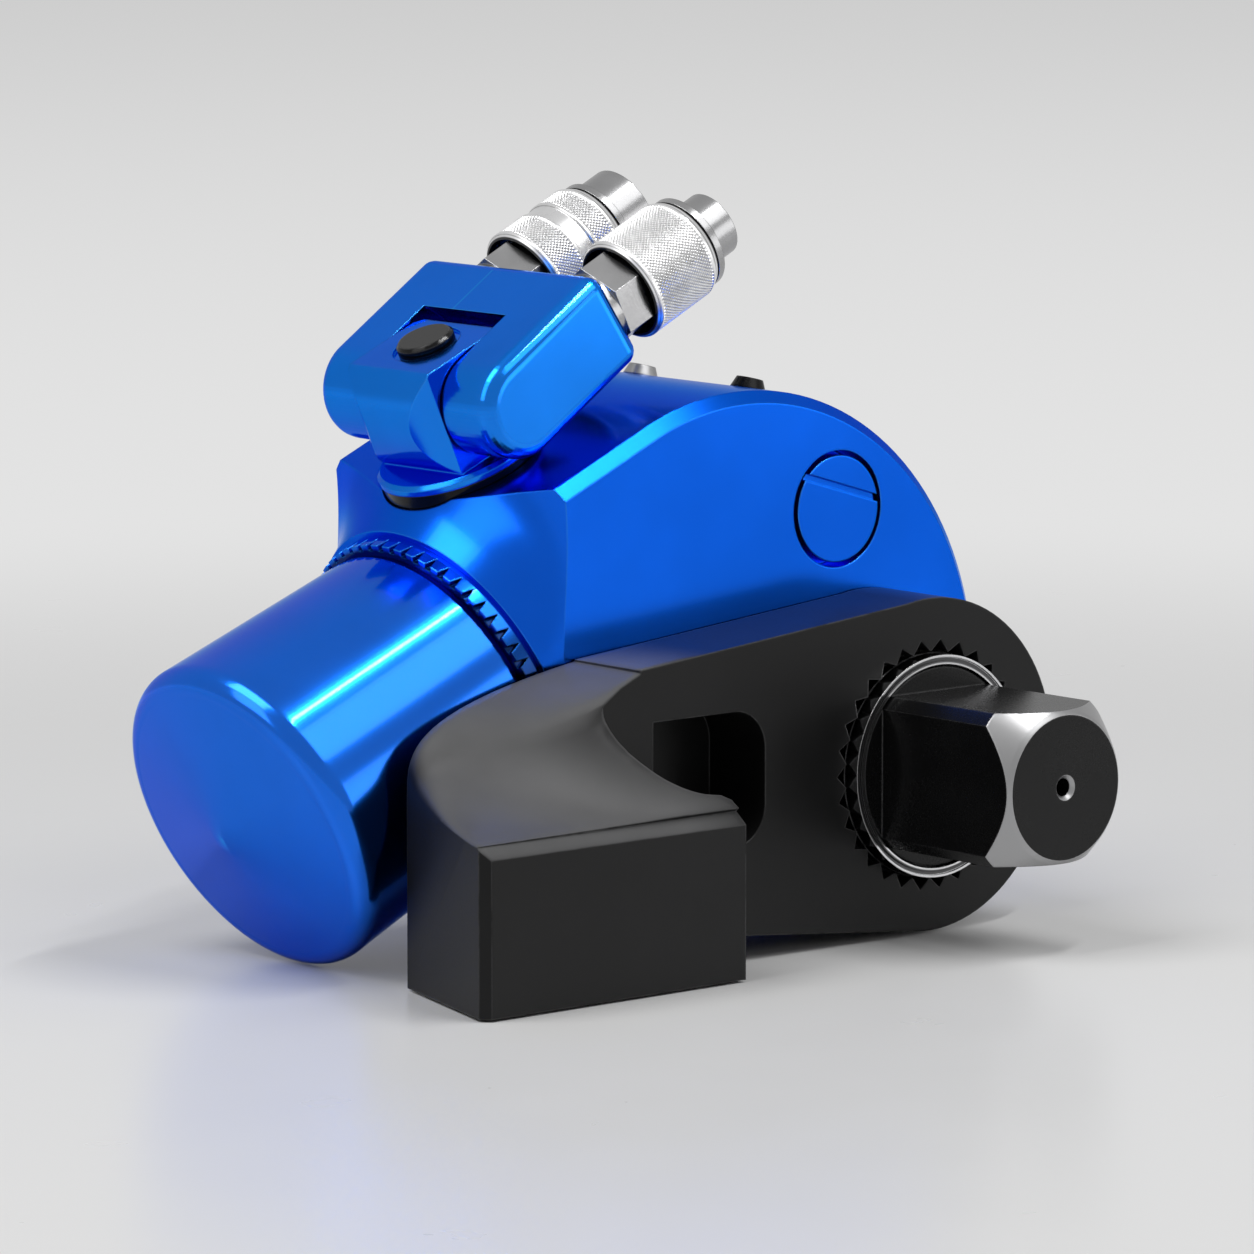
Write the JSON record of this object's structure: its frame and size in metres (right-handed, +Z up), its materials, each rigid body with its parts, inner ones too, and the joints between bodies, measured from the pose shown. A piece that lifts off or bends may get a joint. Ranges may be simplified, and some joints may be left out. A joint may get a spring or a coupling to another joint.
{
  "type": "hydraulic torque wrench",
  "caption": "Hydraulic torque wrench: inclined cylinder on a round-nosed housing, square drive, splined reaction arm with a foot, and a tilting hose swivel with quick couplers.",
  "frame": {"origin": "on the drive axis, in the plane of the retaining ring's outer face", "axes": "+X along the tool, away from the cylinder; +Y from the square drive into the housing; +Z up, with the foot, the arm's hub and the cap resting at z = -42 mm"},
  "size_m": [0.2213, 0.1695, 0.1871],
  "materials": {
    "blue_anodised": "gloss",
    "black_coated_steel": "satin",
    "plated_steel": "satin",
    "chrome_plate": "polished",
    "alloy_steel": "ground",
    "bearing_bronze": "machined",
    "seal_rubber": "matte"
  },
  "bodies": {
    "housing": {"housing": "blue_anodised", "cylinder_cap": "blue_anodised", "cap_lock_ring": "blue_anodised", "cap_seal": "seal_rubber", "rod_gland": "bearing_bronze", "rod_seal": "seal_rubber", "reaction_sleeve": "alloy_steel", "retaining_ring": "chrome_plate", "front_bush": "bearing_bronze", "rear_bush": "bearing_bronze", "crank_pin_plug": "blue_anodised", "top_plugs": "black_coated_steel", "holding_pawl_springs": "alloy_steel", "swivel_gland_ring": "black_coated_steel"},
    "holding_pawl": {"holding_pawl": "alloy_steel"},
    "reaction_arm": {"reaction_arm": "black_coated_steel"},
    "lever": {"drive_lever": "alloy_steel", "crank_pin": "plated_steel", "drive_pawl_springs": "alloy_steel"},
    "drive_pawl": {"drive_pawl": "alloy_steel"},
    "ratchet": {"ratchet_wheel": "alloy_steel", "square_drive": "black_coated_steel", "drive_retainer": "black_coated_steel", "retainer_spring": "alloy_steel"},
    "retainer_button": {"retainer_button": "plated_steel"},
    "piston": {"piston": "plated_steel", "piston_seal": "seal_rubber", "piston_rod": "plated_steel", "rod_end": "alloy_steel"},
    "swivel": {"swivel_block": "blue_anodised", "swivel_screw": "black_coated_steel", "swivel_seal": "seal_rubber", "tilt_pins": "plated_steel"},
    "manifold": {"manifold": "blue_anodised", "port_washers": "plated_steel", "female_adapter": "plated_steel", "female_sleeve_spring": "alloy_steel", "male_adapter": "plated_steel"},
    "female_sleeve": {"female_sleeve": "plated_steel"},
    "male_collar": {"male_collar": "plated_steel"}
  },
  "joints": [
    {"name": "arm_slide", "type": "slide", "parent": "housing", "child": "reaction_arm", "axis": [0, -1, 0], "range_m": [0, 0.032]},
    {"name": "lever_swing", "type": "hinge", "parent": "housing", "child": "lever", "pos_m": [0, 0.07275, 0], "axis": [0, 1, 0], "range_deg": [0, 30]},
    {"name": "piston_slide", "type": "slide", "parent": "housing", "child": "piston", "axis": [0.9135, 0, 0.4067], "range_m": [0, 0.0326]},
    {"name": "ratchet_turn", "type": "hinge", "parent": "lever", "child": "ratchet", "pos_m": [0, 0.07275, 0], "axis": [0, 1, 0], "continuous": true},
    {"name": "drive_pawl_slide", "type": "slide", "parent": "lever", "child": "drive_pawl", "axis": [0.6293, 0, -0.7771], "range_m": [0, 0.0027], "stiffness_N_per_m": 300, "deforming": ["drive_pawl_springs"]},
    {"name": "holding_pawl_slide", "type": "slide", "parent": "housing", "child": "holding_pawl", "axis": [0.9135, 0, 0.4067], "range_m": [0, 0.0027], "stiffness_N_per_m": 300, "deforming": ["holding_pawl_springs"]},
    {"name": "retainer_button_press", "type": "slide", "parent": "ratchet", "child": "retainer_button", "axis": [0, -1, 0], "range_m": [0, 0.0025], "stiffness_N_per_m": 800, "deforming": ["retainer_spring"]},
    {"name": "swivel_turn", "type": "hinge", "parent": "housing", "child": "swivel", "pos_m": [-0.09458, 0.07275, 0.0767], "axis": [-0.4067, 0, 0.9135], "continuous": true},
    {"name": "manifold_tilt", "type": "hinge", "parent": "swivel", "child": "manifold", "pos_m": [-0.10065, 0.07275, 0.09403], "axis": [0, -1, 0], "range_deg": [-8, 165]},
    {"name": "female_sleeve_pull", "type": "slide", "parent": "manifold", "child": "female_sleeve", "axis": [-0.8957, 0, -0.4446], "range_m": [0, 0.004], "stiffness_N_per_m": 1500, "deforming": ["female_sleeve_spring"]},
    {"name": "male_collar_turn", "type": "hinge", "parent": "manifold", "child": "male_collar", "pos_m": [-0.05274, 0.09125, 0.12135], "axis": [0.8957, 0, 0.4446], "continuous": true}
  ],
  "couplings": [
    {"joint": "piston_slide", "follows": "lever_swing", "m_per_rad": 0.061492}
  ]
}
